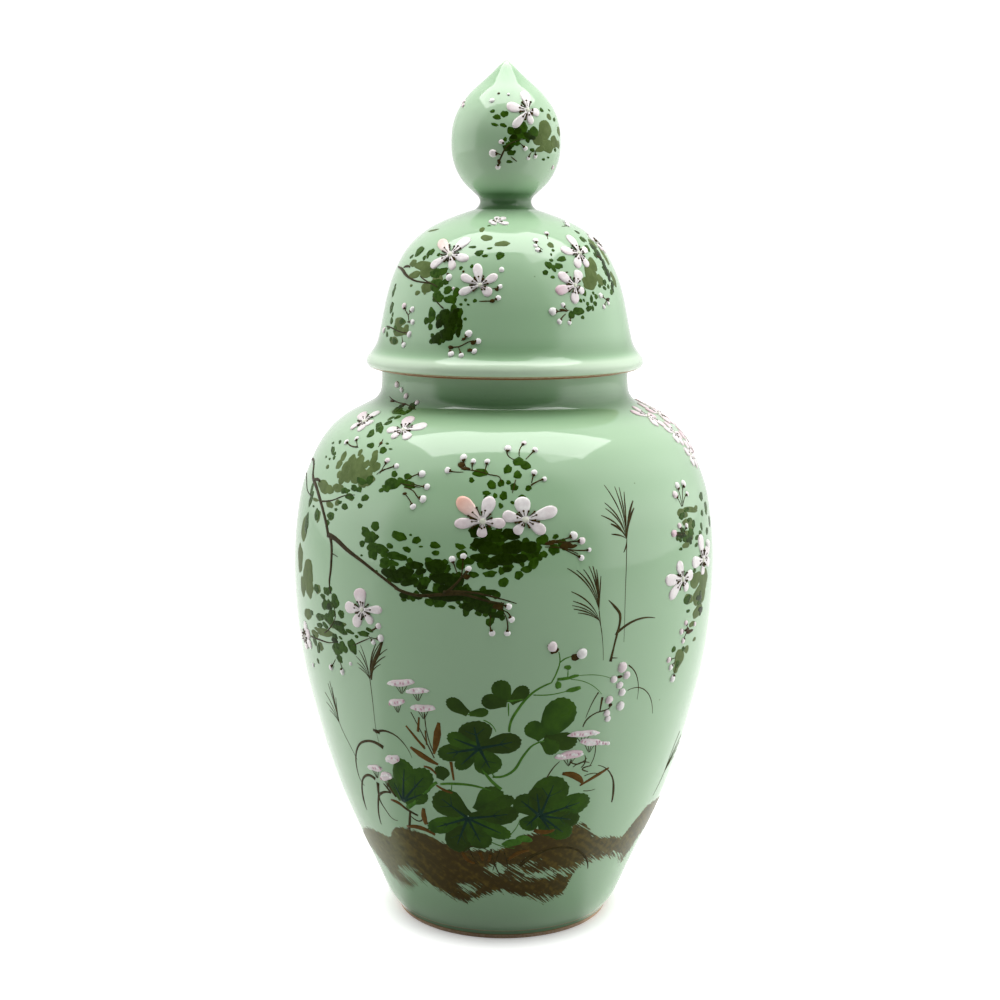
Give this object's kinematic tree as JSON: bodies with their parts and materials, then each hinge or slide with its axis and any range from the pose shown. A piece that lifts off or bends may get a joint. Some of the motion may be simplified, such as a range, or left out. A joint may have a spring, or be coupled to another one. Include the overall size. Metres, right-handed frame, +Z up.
{
  "type": "covered ginger jar",
  "caption": "Tall covered ginger jar of glazed porcelain with a swelling shouldered body, a narrow neck and a domed lid that lifts off by an onion-shaped finial.",
  "frame": {"origin": "centre of the circle that the foot ring stands on, at the height of the table", "axes": "+Z up along the axis that everything is turned about, -Y towards the painted front, +X to that view's right"},
  "size_m": [0.1976, 0.1976, 0.4],
  "materials": {
    "celadon_glaze": "glossy pale green celadon glaze over white porcelain, painted in enamels",
    "bare_biscuit": "unglazed fired porcelain, matt, toasted buff at the glaze line"
  },
  "bodies": {
    "jar": {"foot_ring": "bare_biscuit", "lower_bowl": "celadon_glaze", "upper_bowl": "celadon_glaze", "neck_ring": "celadon_glaze"},
    "lid": {"lid_rim": "celadon_glaze", "locating_ring": "bare_biscuit", "lid_dome": "celadon_glaze", "finial_stem": "celadon_glaze", "finial_bulb": "celadon_glaze"}
  },
  "joints": [
    {"name": "lid_lift", "type": "slide", "parent": "jar", "child": "lid", "axis": [0, 0, 1], "range_m": [0, 0.15]}
  ]
}
